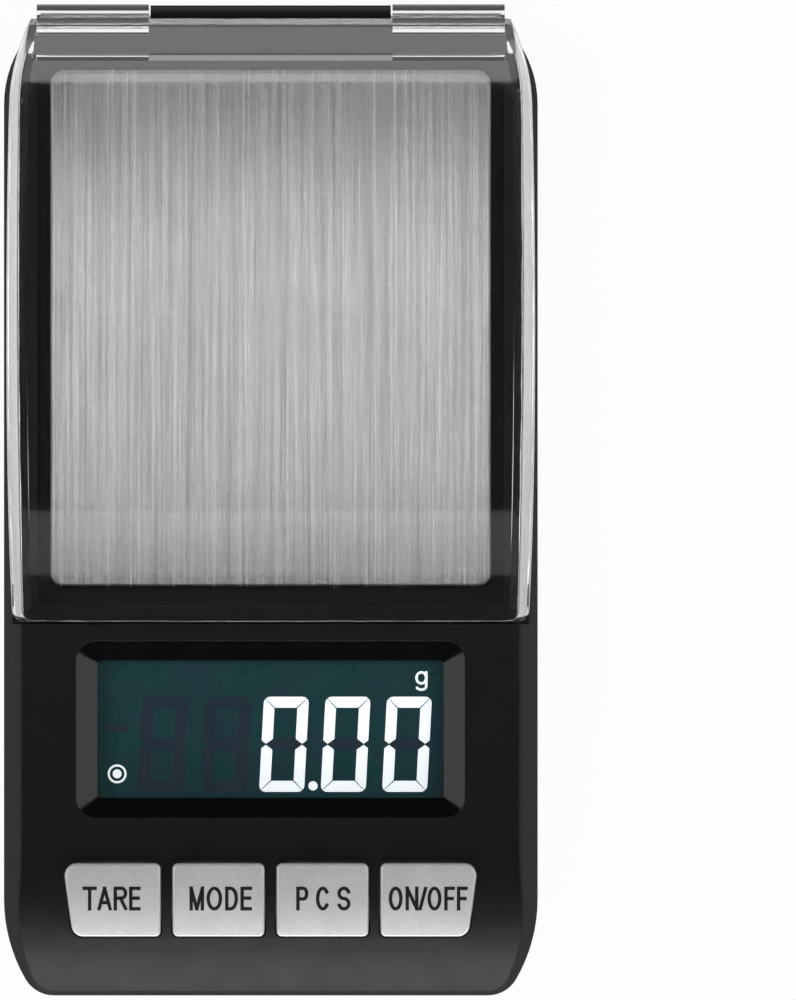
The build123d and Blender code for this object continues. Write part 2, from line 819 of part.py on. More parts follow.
# weighing platform
pan_width = 2 * pan_half
pan_length = pan_rear_y - pan_front_y
skirt_z = pan_z - pan_sheet - pan_skirt
pan = rounded_plate(pan_y, pan_width, pan_length, pan_corner_radius, skirt_z, pan_z)
pan = fillet(pan.faces().sort_by(Axis.Z)[-1].edges(), pan_edge_radius)
inner_radius = pan_corner_radius - pan_sheet
dish_width = pan_width - 2 * pan_sheet
dish_length = pan_length - 2 * pan_sheet
dish = rounded_plate(pan_y, dish_width, dish_length, inner_radius, skirt_z, pan_z - pan_sheet)
dish = fillet(dish.faces().sort_by(Axis.Z)[-1].edges(), pan_edge_radius - pan_sheet + 0.05)
save("weighing_pan", pan - dish)

tape_length = pan_length - 2 * tape_end_gap
tapes = []
for side in (-1, 1):
    middle = side * (pan_half - 2.0 - tape_width / 2)
    x0, x1 = middle - tape_width / 2, middle + tape_width / 2
    y0, y1 = pan_y - tape_length / 2, pan_y + tape_length / 2
    tapes.append(block(x0, x1, y0, y1, carrier_top, carrier_top + tape_thickness))
save("pan_tape", *tapes)

carrier_width = dish_width - 2 * carrier_inset
carrier_length = dish_length - 2 * carrier_inset
carrier = rounded_plate(pan_y, carrier_width, carrier_length, inner_radius, carrier_z, carrier_top)
boss_y = pan_y + (beam_screw_outer + beam_screw_inner) / 2
half_x, half_y = boss_width / 2, boss_length / 2
carrier += block(-half_x, half_x, boss_y - half_y, boss_y + half_y, beam_top, carrier_z + 0.5)
head_seat = carrier_top - m3_head_height - 0.1
platform_screws = []
for beam_offset in (beam_screw_inner, beam_screw_outer):
    screw_y = pan_y + beam_offset
    carrier -= upright(0, screw_y, beam_top - 1, height, m3_radius + 0.15)
    carrier -= upright(0, screw_y, head_seat, height, m3_head_radius + 0.2)
    shank = head_seat - beam_z - 1.0
    fastener = screw(m3_head_radius, m3_head_height, m3_radius, shank)
    platform_screws.append(Pos(0, screw_y, head_seat) * Rot(180, 0, 0) * fastener)
save("pan_carrier", carrier)
save("load_cell_carrier_screws", *platform_screws)

# load cell
half_beam = beam_width / 2
beam = block(-half_beam, half_beam, beam_front_y, beam_front_y + beam_length, beam_z, beam_top)
beam_mid_z = (beam_z + beam_top) / 2
for side in (-1, 1):
    hole_y = pan_y + side * beam_hole_offset
    beam -= crossbar(-half_beam - 1, half_beam + 1, hole_y, beam_mid_z, beam_hole_radius)
    for beam_offset in (beam_screw_inner, beam_screw_outer):
        beam -= upright(0, pan_y + side * beam_offset, 0, height, m3_radius + screw_slip)
neck_y0, neck_y1 = pan_y - beam_hole_offset, pan_y + beam_hole_offset
half_neck = beam_neck / 2
beam -= block(-half_beam - 1, half_beam + 1, neck_y0, neck_y1, beam_mid_z - half_neck, beam_mid_z + half_neck)
save("load_cell", beam)

spacer = block(-half_beam, half_beam, beam_front_y, beam_front_y + spacer_length, inner_floor, beam_z)
base_screws = []
for beam_offset in (beam_screw_outer, beam_screw_inner):
    screw_y = pan_y - beam_offset
    spacer -= upright(0, screw_y, 0, height, m3_radius + 0.15)
    sunk_top = foot_height + 0.15 + m3_sink
    fastener = screw(m3_head_radius, m3_sink, m3_radius, beam_top - 0.6 - sunk_top, sunk=True)
    base_screws.append(Pos(0, screw_y, sunk_top) * fastener)
save("load_cell_spacer", spacer)
save("load_cell_base_screws", *base_screws)

stop_y = pan_y + beam_screw_outer
stop = upright(0, stop_y, foot_height + 0.2, beam_z - stop_gap, m3_radius)
stop -= block(-1.1, 1.1, stop_y - 0.25, stop_y + 0.25, 0, foot_height + 0.7)
save("overload_stop_screw", stop)

gauges = []
for side in (-1, 1):
    gauge_y = pan_y + side * beam_hole_offset
    for low in (beam_z - gauge_thickness, beam_top):
        y0, y1 = gauge_y - gauge_half_length, gauge_y + gauge_half_length
        gauges.append(block(-gauge_half_width, gauge_half_width, y0, y1, low, low + gauge_thickness))
save("strain_gauges", *gauges)

# board, switches and small parts
board = block(-board_half_width, board_half_width, board_front_y, bay_rear_y + 0.1, board_z, board_top)
for place_x, place_y in case_screw_places():
    board -= upright(place_x, place_y, 0, height, case_boss_radius + 0.4)
for place_x, place_y in board_screw_places():
    board -= upright(place_x, place_y, 0, height, board_screw_radius + 0.2)
save("main_board", board)

board_fasteners = []
for place_x, place_y in board_screw_places():
    shank = deck_underside(place_y) - 1.4 - board_z
    fastener = screw(board_head_radius, board_head_height, board_screw_radius, shank)
    board_fasteners.append(Pos(place_x, place_y, board_z) * fastener)
save("board_screws", *board_fasteners)

names = ["tare", "mode", "pcs", "power"]
switch_top = board_top + switch_height
switches = []
for name, middle, outline in zip(names, button_middles(), button_outlines()):
    x0, x1 = middle - switch_width / 2, middle + switch_width / 2
    y0, y1 = switch_y - switch_depth / 2, switch_y + switch_depth / 2
    well_z = switch_top + 0.05 - plunger_travel - 0.45
    body = block(x0, x1, y0, y1, board_top, switch_top)
    switches.append(body - upright(middle, switch_y, well_z, height, plunger_radius + 0.1))
    plunger_z = well_z + plunger_travel + 0.05
    plunger = upright(middle, switch_y, plunger_z, switch_top + plunger_rise, plunger_radius)
    save(f"switch_plunger_{name}", plunger)
    save(f"{name}_button", button(outline, middle))
save("tact_switches", *switches)

blob_y = bay_front_y - bay_wall - 5.0
blob = Pos(0, blob_y, board_z - 0.5) * Cone(3.2, 4.2, 1.0)
save("controller_blob", blob)

chip_z = board_z - 0.9
chips = []
for x, y, half_x, half_y in (
    (-12.0, blob_y - 0.6, 2.5, 2.0),
    (12.0, blob_y - 0.6, 2.5, 2.0),
    (-19.0, blob_y, 0.8, 1.6),
    (19.0, blob_y, 0.8, 1.6),
    (-22.5, blob_y, 0.6, 1.0),
    (22.5, blob_y, 0.6, 1.0),
    (-7.0, blob_y - 2.0, 0.5, 1.0),
    (7.0, blob_y - 2.0, 0.5, 1.0),
    (-7.0, blob_y + 1.0, 0.5, 1.0),
    (7.0, blob_y + 1.0, 0.5, 1.0),
):
    chips.append(block(x - half_x, x + half_x, y - half_y, y + half_y, chip_z, board_z))
save("board_components", *chips)

# display
glass_z = board_top + backlight_thickness
glass_top = glass_z + glass_thickness
half_glass = glass_width / 2
glass_front_y = window_y - glass_depth / 2
glass_rear_y = window_y + glass_depth / 2
save("lcd_glass", block(-half_glass, half_glass, glass_front_y, glass_rear_y, glass_z, glass_top))
light_front_y = glass_front_y + zebra_depth + 0.6
half_light = half_glass - 0.1
save("backlight", block(-half_light, half_light, light_front_y, glass_rear_y - 0.1, board_top, glass_z))
zebra_y = glass_front_y + 0.25
half_zebra = half_glass - 2.5
save("zebra_strip", block(-half_zebra, half_zebra, zebra_y, zebra_y + zebra_depth, board_top, glass_z))
frame_width = glass_width + 2 * frame_wall
frame_depth = glass_depth + 2 * frame_wall
bezel = rounded_plate(window_y, frame_width, frame_depth, 0.5, board_top, glass_top)
bezel -= block(-half_glass, half_glass, glass_front_y, glass_rear_y, 0, height)
save("lcd_frame", bezel)
lens_top = deck - bevel_drop - 0.1
lens_seat = lens_top - lens_step
lens = rounded_plate(window_y, glass_width - 0.2, glass_depth - 0.2, 1.0, lens_seat - lens_step, lens_seat)
small_width = window_width - lens_play
small_depth = window_depth - lens_play
lens += rounded_plate(window_y, small_width, small_depth, window_radius - 0.1, lens_seat, lens_top)
save("display_lens", lens)

# battery door: a plate with two rear tabs, a springy front tongue and finger ridges
door_half = bay_half + door_overlap
door_rear_y = bay_rear_y + door_rear_overlap
door_front_y = bay_front_y - door_rear_overlap - door_gap
door_y = (door_front_y + door_rear_y) / 2
door_length = door_rear_y - door_front_y
door = rounded_plate(door_y, 2 * door_half, door_length, door_corner_radius, foot_height, door_top)
tab_z = inner_floor + 0.1
tab_top_z = tab_z + tab_thickness
for x in (-tab_offset, tab_offset):
    x0, x1 = x - tab_width / 2, x + tab_width / 2
    door += block(x0, x1, door_rear_y - 0.9, door_rear_y, foot_height + 0.2, tab_top_z)
    door += block(x0, x1, door_rear_y - 0.9, door_rear_y + tab_length, tab_z, tab_top_z)
tongue_y = bay_front_y + 0.5
tongue_top = door_top + tongue_rise
door += block(-tongue_half, tongue_half, tongue_y, tongue_y + tongue_thickness, foot_height + 0.2, tongue_top)
door += block(-tongue_half, tongue_half, tongue_y - 0.15, tongue_y + 0.1, tongue_top - 0.8, tongue_top)
for step in range(4):
    ridge_y = door_front_y + ridge_pitch * (step + 2)
    low = foot_height - ridge_height
    door += block(-ridge_half, ridge_half, ridge_y - 0.3, ridge_y + 0.3, low, foot_height + 0.2)
save("battery_door", door)

# cells and contacts; the rear cell's raised end is at -X and the front cell's at +X
save("cell_rear", cell(-1, cell_rear_y))
save("cell_front", cell(1, cell_front_y))
save("contact_springs", contact_spring(1, cell_rear_y), contact_spring(-1, cell_front_y))
contact_z = cell_z - contact_half_height
contact_top = cell_z + contact_half_height
plate_x = bay_half - contact_thickness
bridge_y0, bridge_y1 = cell_front_y - contact_half_depth, cell_rear_y + contact_half_depth
save("contact_bridge", block(plate_x, bay_half, bridge_y0, bridge_y1, contact_z, contact_top))
tab_end = bay_half + bay_wall + contact_tab_length
leads = []
for node, y in (("contact_positive", cell_rear_y), ("contact_negative", cell_front_y)):
    y0, y1 = y - contact_half_depth, y + contact_half_depth
    plate = block(-bay_half, -plate_x, y0, y1, contact_z, contact_top)
    lead_z = cell_z + contact_tab_rise
    low, high = lead_z - contact_thickness / 2, lead_z + contact_thickness / 2
    plate += block(-tab_end, -plate_x, y - contact_tab_half, y + contact_tab_half, low, high)
    save(node, plate)
    turn_x = -tab_end - battery_lead_run
    route = [(-tab_end, y, lead_z), (turn_x, y, lead_z), (turn_x, y, board_z)]
    leads.append(lead(route, battery_lead_radius))
save("battery_lead_red", leads[0])
save("battery_lead_black", leads[1])

# four fine leads from the load cell's gauges, round the bay's corner and up to the board
lead_z = beam_top + 0.3
riser_y = bay_rear_y - 6.6
gauge_leads = []
for i in range(4):
    start_x = gauge_lead_pitch * (i - 1.5)
    side_x = bay_half + bay_wall + 0.55 + gauge_lead_pitch * i
    bend = 0.37 * i
    start_y = pan_y - beam_hole_offset - gauge_half_length
    mid_y = beam_front_y + 2.5 + bend
    turn_y = bay_rear_y + 5.4 + bend
    route = [
        (start_x, start_y, lead_z),
        (start_x, mid_y, lead_z),
        (side_x, turn_y, lead_z),
        (side_x, riser_y, lead_z),
        (side_x, riser_y, board_z),
    ]
    gauge_leads.append(lead(route, gauge_lead_radius))
for i, colour in enumerate(["red", "black", "green", "white"]):
    save(f"gauge_lead_{colour}", gauge_leads[i])
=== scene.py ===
import bmesh
import bpy
import math
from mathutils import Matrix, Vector


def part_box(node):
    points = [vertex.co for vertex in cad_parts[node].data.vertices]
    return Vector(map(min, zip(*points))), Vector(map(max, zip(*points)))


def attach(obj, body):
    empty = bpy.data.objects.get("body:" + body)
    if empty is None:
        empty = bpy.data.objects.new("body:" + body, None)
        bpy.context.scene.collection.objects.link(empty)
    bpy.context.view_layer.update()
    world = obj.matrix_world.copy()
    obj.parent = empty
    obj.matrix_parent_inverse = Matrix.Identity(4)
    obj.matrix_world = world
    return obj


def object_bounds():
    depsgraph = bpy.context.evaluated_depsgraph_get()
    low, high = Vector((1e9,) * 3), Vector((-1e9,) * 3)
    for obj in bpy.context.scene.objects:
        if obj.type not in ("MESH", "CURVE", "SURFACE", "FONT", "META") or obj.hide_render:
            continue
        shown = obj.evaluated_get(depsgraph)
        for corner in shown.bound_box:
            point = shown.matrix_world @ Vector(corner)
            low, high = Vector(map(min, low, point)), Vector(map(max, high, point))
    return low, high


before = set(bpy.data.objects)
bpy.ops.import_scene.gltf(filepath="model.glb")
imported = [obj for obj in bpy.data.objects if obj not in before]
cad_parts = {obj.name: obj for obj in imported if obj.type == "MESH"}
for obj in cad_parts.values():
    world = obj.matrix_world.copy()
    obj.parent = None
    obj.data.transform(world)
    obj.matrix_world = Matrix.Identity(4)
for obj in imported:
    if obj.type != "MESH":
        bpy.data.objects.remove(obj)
cad_low, cad_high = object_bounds()

MM = 0.001

# ------------------------------------------------------------------ sizes, mm
cover_above_deck = 2.4
bevel_reach = 2.0                 # how far the display bevel spreads round the lens
bevel_depth = 1.4                 # below the deck, a little more than the facets
bevel_skin = 0.03                 # the deck's own face stays matt
cover_flat_end = (30.6, 31.4)     # distance from the middle where the cover's flat top turns into its walls
sleeve_band = 9.0                 # red end of a cell's sleeve
sleeve_cap = 0.9                  # bare metal at a cell's end
lcd_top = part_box("lcd_glass")[1].z / MM
digit_top = -24.6                 # y of the upper edge of the digits
digit_bottom = -36.5
digit_width = 5.63                # before the slant
segment = 1.38                    # thickness of a segment
segment_gap = 0.07                # half of the dark line between segments
digit_slant = 0.052               # sideways lean per unit of height
digit_corner = 0.75               # outer radius of a digit
digit_lefts = (-1.44, 6.26, 13.94)
ghost_lefts = (-16.6, -8.7)       # digits that are not lit
minus_bar = ((-20.8, -28.05), (-17.8, -28.05), (-17.75, -28.95), (-20.85, -28.95))
decimal_point = (5.31, -35.75, 0.58)      # x, y and radius
stable_dot = (-19.19, -34.25, 0.56)
stable_ring = (1.18, 0.92)        # outer and inner radius, about the dot
unit_box = (18.1, 19.62, -23.87, -21.4)   # left, right, bottom and top of the g
unit_stroke = 0.3
film_height = 0.03                # how far the LCD marks stand off the glass
ink_height = 0.02                 # thickness of the printed lettering
ink_sink = 0.01                   # how far it reaches into the surface that it lies on
cap_axis_y = -42.0                # axis of the arc that the button tops follow
cap_axis_z = -8.9
cap_radius = 28.15
letter_top = -48.33
letter_bottom = -51.33
letter_stroke = 0.43
stroke_step = 0.4                 # longest straight piece of a stroke
oval_step = 12                    # degrees between the points of a round stroke


# ------------------------------------------------------------------ node helpers
def add(tree, kind, settings=None, **inputs):
    """A shader node, its settings, and its inputs by name; a socket value makes a link."""
    node = tree.nodes.new("ShaderNode" + kind)
    for key, value in (settings or {}).items():
        setattr(node, key, value)
    for key, value in inputs.items():
        connect(tree, value, node.inputs[key.replace("_", " ")])
    return node


def connect(tree, value, socket):
    if isinstance(value, bpy.types.NodeSocket):
        tree.links.new(value, socket)
    else:
        socket.default_value = value


def math_of(tree, operation, first, second=0.0, clamp=False):
    """A sum, product or comparison of two values."""
    node = tree.nodes.new("ShaderNodeMath")
    node.operation = operation
    node.use_clamp = clamp
    connect(tree, first, node.inputs[0])
    connect(tree, second, node.inputs[1])
    return node.outputs[0]


def spread(tree, value, low, high, start=0.3, end=0.7):
    """The value stretched from start..end onto low..high."""
    ranges = {"From_Min": start, "From_Max": end, "To_Min": low, "To_Max": high}
    return add(tree, "MapRange", None, Value=value, **ranges).outputs["Result"]


def blend_colour(tree, factor, dark, light):
    first, second = ((*c, 1) if isinstance(c, tuple) else c for c in (dark, light))
    return add(tree, "MixRGB", None, Fac=factor, Color1=first, Color2=second).outputs["Color"]


def place(tree, grain=(1, 1, 1)):
    """Object coordinates in mm, stretched by the grain."""
    coordinates = add(tree, "TexCoord").outputs["Object"]
    scale = tuple(g / MM for g in grain)
    return add(tree, "Mapping", None, Vector=coordinates, Scale=scale).outputs["Vector"]


def axis_of(tree, axis):
    """One object coordinate in mm."""
    coordinates = add(tree, "TexCoord").outputs["Object"]
    split = add(tree, "SeparateXYZ", None, Vector=coordinates)
    return math_of(tree, "MULTIPLY", split.outputs[axis], 1 / MM)


def noise(tree, grain, detail=3.0, roughness=0.55):
    """Noise with so many grains to the mm along each axis."""
    return add(tree, "TexNoise", None, Vector=place(tree, grain), Scale=1.0, Detail=detail,
               Roughness=roughness).outputs["Fac"]


def normal_of(tree, axis):
    """One part of the surface's own direction."""
    normal = add(tree, "TexCoord").outputs["Normal"]
    return add(tree, "SeparateXYZ", None, Vector=normal).outputs[axis]


def relief(tree, height, depth):
    """A bump of the given depth in mm."""
    return add(tree, "Bump", None, Height=height, Strength=1.0, Distance=depth * MM).outputs["Normal"]


def mix_shaders(tree, factor, first, second):
    node = add(tree, "MixShader", None, Fac=factor)
    tree.links.new(first, node.inputs[1])
    tree.links.new(second, node.inputs[2])
    return node.outputs[0]


def new_material(name):
    material = bpy.data.materials.new(name)
    material.use_nodes = True
    material.node_tree.nodes.clear()
    return material, material.node_tree


def output(tree, shader):
    """The material's end."""
    add(tree, "OutputMaterial", None, Surface=shader)


def shares(tree, first, share, second):
    """The first value's share, and the rest from the second."""
    return math_of(tree, "ADD", math_of(tree, "MULTIPLY", first, share),
                   math_of(tree, "MULTIPLY", second, 1 - share))


def grained(name, dark, light, roughness, grain, wear=0.1, depth=0.01, **constants):
    """A solid finish: two colours, a roughness and a relief that follow one fine grain and one broad one."""
    material, tree = new_material(name)
    fine = noise(tree, grain)
    broad = noise(tree, tuple(g * 0.12 for g in grain), 2.0)
    mixed = shares(tree, fine, 0.65, broad)
    colour = blend_colour(tree, spread(tree, mixed, 0, 1), dark, light)
    shader = add(tree, "BsdfPrincipled", None, Base_Color=colour,
                 Roughness=spread(tree, mixed, roughness - wear, roughness + wear),
                 Normal=relief(tree, fine, depth), **constants)
    output(tree, shader.outputs[0])
    return material


# ------------------------------------------------------------------ materials
def bevel_mask(tree):
    """One on the facets round the display, and nothing elsewhere."""
    low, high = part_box("display_lens")
    deck = cad_high.z / MM - cover_above_deck
    inside = math_of(tree, "LESS_THAN", axis_of(tree, "Z"), deck - bevel_skin)
    for axis, start, end in (("X", low.x, high.x), ("Y", low.y, high.y)):
        middle = (start + end) / 2 / MM
        half = (end - start) / 2 / MM + bevel_reach
        away = math_of(tree, "ABSOLUTE", math_of(tree, "SUBTRACT", axis_of(tree, axis), middle))
        inside = math_of(tree, "MULTIPLY", inside, math_of(tree, "LESS_THAN", away, half))
    above = math_of(tree, "GREATER_THAN", axis_of(tree, "Z"), deck - bevel_depth)
    return math_of(tree, "MULTIPLY", inside, above)


def black_abs():
    """Fine spark-eroded texture, duller on upright faces, and polished facets round the display."""
    material, tree = new_material("black_abs")
    fine = noise(tree, (7, 7, 7), 2.0)
    broad = noise(tree, (0.25, 0.25, 0.25), 2.0)
    polished = bevel_mask(tree)
    steep = math_of(tree, "LESS_THAN", math_of(tree, "ABSOLUTE", normal_of(tree, "Z")), 0.45)
    gloss = math_of(tree, "MULTIPLY", polished, 0.31)
    rough = math_of(tree, "SUBTRACT", spread(tree, broad, 0.43, 0.48), gloss)
    rough = math_of(tree, "ADD", rough, math_of(tree, "MULTIPLY", steep, 0.5), True)
    colour = blend_colour(tree, spread(tree, fine, 0, 1), (0.0010, 0.0010, 0.0011), (0.0022, 0.0022, 0.0024))
    height = math_of(tree, "MULTIPLY", fine, math_of(tree, "SUBTRACT", 1.0, polished))
    shader = add(tree, "BsdfPrincipled", None, Base_Color=colour, Roughness=rough, Specular_IOR_Level=0.2,
                 Normal=relief(tree, height, 0.012))
    output(tree, shader.outputs[0])
    return material


def painted_wall_highlights(tree, shader):
    """Painted highlights: white streaks on the inner faces of the side walls, standing in for the bright
    bands of light in the clear walls.
    """
    facing = math_of(tree, "MULTIPLY", normal_of(tree, "X"), axis_of(tree, "X"))
    inward = math_of(tree, "LESS_THAN", facing, -15.0)
    highlight_streaks = spread(tree, noise(tree, (2.5, 0.12, 2.5), 3.0), 0.0, 1.0, 0.35, 0.6)
    # painted highlight: a white diffuse mixed in where the streaks fall on the inward faces
    white = add(tree, "BsdfDiffuse", None, Color=(0.88, 0.89, 0.90, 1))
    return mix_shaders(tree, math_of(tree, "MULTIPLY", inward, highlight_streaks), shader, white.outputs[0])


def clear_plastic(name, tint, roughness, ripple, wall_highlights=False):
    """Clear moulding that lets the lamps through to what it covers; flow ripples lie in its side walls, and
    its last flag adds painted highlight streaks of white on their inner faces.
    """
    material, tree = new_material(name)
    haze = noise(tree, (2.5, 2.5, 2.5), 3.0)
    walls = spread(tree, math_of(tree, "ABSOLUTE", axis_of(tree, "X")), 0, 1, *cover_flat_end)
    waves = math_of(tree, "MULTIPLY", noise(tree, (0.12, 0.35, 0.5), 2.0), walls)
    glass = add(tree, "BsdfPrincipled", None, Base_Color=blend_colour(tree, haze, tint, (1.0, 1.0, 1.0)),
                Roughness=spread(tree, haze, roughness, roughness + 0.03), IOR=1.5, Transmission_Weight=1.0,
                Normal=relief(tree, waves, ripple))
    through = add(tree, "BsdfTransparent", None, Color=(0.93, 0.935, 0.94, 1))
    path = add(tree, "LightPath")
    free = math_of(tree, "MAXIMUM", path.outputs["Is Shadow Ray"], path.outputs["Is Diffuse Ray"])
    shader = mix_shaders(tree, free, glass.outputs[0], through.outputs[0])
    # the last flag adds the painted white highlight streaks to the side walls
    output(tree, painted_wall_highlights(tree, shader) if wall_highlights else shader)
    return material


def brushed_steel():
    """Stainless sheet brushed along its length, which spreads its highlights across."""
    material, tree = new_material("brushed_pan")
    hair = noise(tree, (14, 0.05, 1), 2.0)
    streak = noise(tree, (2.2, 0.022, 1), 4.0, 0.65)
    cloud = noise(tree, (0.05, 0.04, 0.05), 2.0)
    mixed = spread(tree, shares(tree, hair, 0.45, streak), 0, 1, 0.32, 0.68)
    colour = blend_colour(tree, mixed, (0.265, 0.261, 0.257), (0.475, 0.468, 0.46))
    shade = blend_colour(tree, spread(tree, cloud, 0, 0.12), colour, (0.86, 0.82, 0.80))
    shader = add(tree, "BsdfPrincipled", None, Base_Color=shade, Metallic=1.0,
                 Roughness=spread(tree, streak, 0.24, 0.28), Anisotropic=0.95,
                 Tangent=add(tree, "CombineXYZ", None, X=1.0, Y=0.0, Z=0.0).outputs[0],
                 Normal=relief(tree, hair, 0.002))
    output(tree, shader.outputs[0])
    return material


def silver_paint():
    """Metallic lacquer with fine flakes."""
    material, tree = new_material("silver_paint")
    flakes = add(tree, "TexVoronoi", None, Vector=place(tree, (11, 11, 11)), Scale=1.0).outputs["Color"]
    flake = add(tree, "SeparateColor", None, Color=flakes).outputs[0]
    broad = noise(tree, (0.3, 0.3, 0.3), 2.0)
    tone = spread(tree, shares(tree, flake, 0.5, broad), 0, 1, 0.2, 0.8)
    colour = blend_colour(tree, tone, (0.41, 0.41, 0.42), (0.52, 0.52, 0.53))
    shader = add(tree, "BsdfPrincipled", None, Base_Color=colour, Metallic=0.35,
                 Roughness=spread(tree, flake, 0.34, 0.46, 0, 1), Normal=relief(tree, flake, 0.004))
    output(tree, shader.outputs[0])
    return material


def lcd_glow():
    """Dark teal of a backlit negative display, a little uneven."""
    material, tree = new_material("lcd")
    patch = noise(tree, (0.16, 0.22, 0.2), 3.0)
    rows = noise(tree, (0.6, 2.5, 1), 2.0)
    colour = blend_colour(tree, spread(tree, patch, 0, 1), (0.004, 0.054, 0.056), (0.010, 0.038, 0.054))
    colour = blend_colour(tree, spread(tree, rows, 0, 0.25), colour, (0.006, 0.050, 0.042))
    shader = add(tree, "BsdfPrincipled", None, Base_Color=colour, Roughness=spread(tree, patch, 0.25, 0.35),
                 Specular_IOR_Level=0.2)
    output(tree, shader.outputs[0])
    return material


def lit_mark():
    """White of a lit segment."""
    material, tree = new_material("lit_segment")
    speck = noise(tree, (3, 3, 3), 2.0)
    colour = blend_colour(tree, speck, (0.82, 0.88, 0.90), (0.93, 0.95, 0.96))
    shader = add(tree, "BsdfPrincipled", None, Base_Color=colour, Roughness=0.5, Emission_Color=colour,
                 Emission_Strength=0.55)
    output(tree, shader.outputs[0])
    return material


def circuit_board():
    """Green solder mask over tracks."""
    material, tree = new_material("board")
    tracks = add(tree, "TexBrick", None, Vector=place(tree, (0.45, 0.45, 0.45)), Scale=1.0, Mortar_Size=0.06,
                 Brick_Width=1.6, Row_Height=0.5, Color1=(0, 0, 0, 1), Color2=(0.2, 0.2, 0.2, 1),
                 Mortar=(1, 1, 1, 1)).outputs["Color"]
    level = add(tree, "SeparateColor", None, Color=tracks).outputs[0]
    colour = blend_colour(tree, level, (0.012, 0.11, 0.045), (0.03, 0.20, 0.08))
    shader = add(tree, "BsdfPrincipled", None, Base_Color=colour,
                 Roughness=spread(tree, level, 0.3, 0.4, 0, 1), Normal=relief(tree, level, 0.03))
    output(tree, shader.outputs[0])
    return material


def chip_mix():
    """Small parts: dark bodies, tan bodies and tinned ends, by where they lie."""
    material, tree = new_material("board_components")
    cells = add(tree, "TexVoronoi", None, Vector=place(tree, (0.3, 0.3, 0.05)), Scale=1.0).outputs["Color"]
    pick = add(tree, "SeparateColor", None, Color=cells).outputs[0]
    ends = noise(tree, (1.1, 1.1, 0.3), 1.0)
    body = blend_colour(tree, spread(tree, pick, 0, 1, 0.4, 0.5), (0.02, 0.02, 0.022), (0.30, 0.21, 0.12))
    colour = blend_colour(tree, spread(tree, ends, 0, 1, 0.6, 0.62), body, (0.6, 0.6, 0.6))
    shader = add(tree, "BsdfPrincipled", None, Base_Color=colour, Roughness=spread(tree, ends, 0.35, 0.5),
                 Normal=relief(tree, ends, 0.02))
    output(tree, shader.outputs[0])
    return material


def cell_sleeve():
    """Printed film round a dry cell: black with a red band at each end, and bare metal caps."""
    material, tree = new_material("cell_wrap")
    low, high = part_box("cell_rear")
    half = (high.x - low.x) / 2 / MM
    middle = (low.x + high.x) / 2 / MM
    away = math_of(tree, "ABSOLUTE", math_of(tree, "SUBTRACT", axis_of(tree, "X"), middle))
    film = noise(tree, (1.5, 4, 4), 3.0)
    body = blend_colour(tree, film, (0.010, 0.010, 0.011), (0.022, 0.022, 0.024))
    band = math_of(tree, "GREATER_THAN", away, half - sleeve_band)
    colour = blend_colour(tree, band, body, (0.55, 0.02, 0.015))
    cap = math_of(tree, "GREATER_THAN", away, half - sleeve_cap)
    colour = blend_colour(tree, cap, colour, (0.66, 0.66, 0.65))
    shader = add(tree, "BsdfPrincipled", None, Base_Color=colour, Metallic=cap,
                 Roughness=spread(tree, film, 0.22, 0.34), Normal=relief(tree, film, 0.01))
    output(tree, shader.outputs[0])
    return material


def striped(name, dark, light, pitch, roughness):
    """Layers across X."""
    material, tree = new_material(name)
    wave = add(tree, "TexWave", {"bands_direction": "X"}, Vector=place(tree, (1 / pitch, 1, 1)), Scale=1.0,
               Distortion=0.4, Detail=1.0).outputs["Fac"]
    shader = add(tree, "BsdfPrincipled", None, Base_Color=blend_colour(tree, wave, dark, light),
                 Roughness=spread(tree, wave, roughness - 0.08, roughness + 0.08, 0, 1),
                 Normal=relief(tree, wave, 0.01))
    output(tree, shader.outputs[0])
    return material


def wire(name, dark, light):
    """Insulation of a lead."""
    return grained(name, dark, light, 0.42, (3, 3, 3), 0.08, 0.01)


def metal(name, dark, light, roughness, grain, depth=0.006):
    """Plain metal, drawn or plated."""
    return grained(name, dark, light, roughness, grain, 0.08, depth, Metallic=1.0)


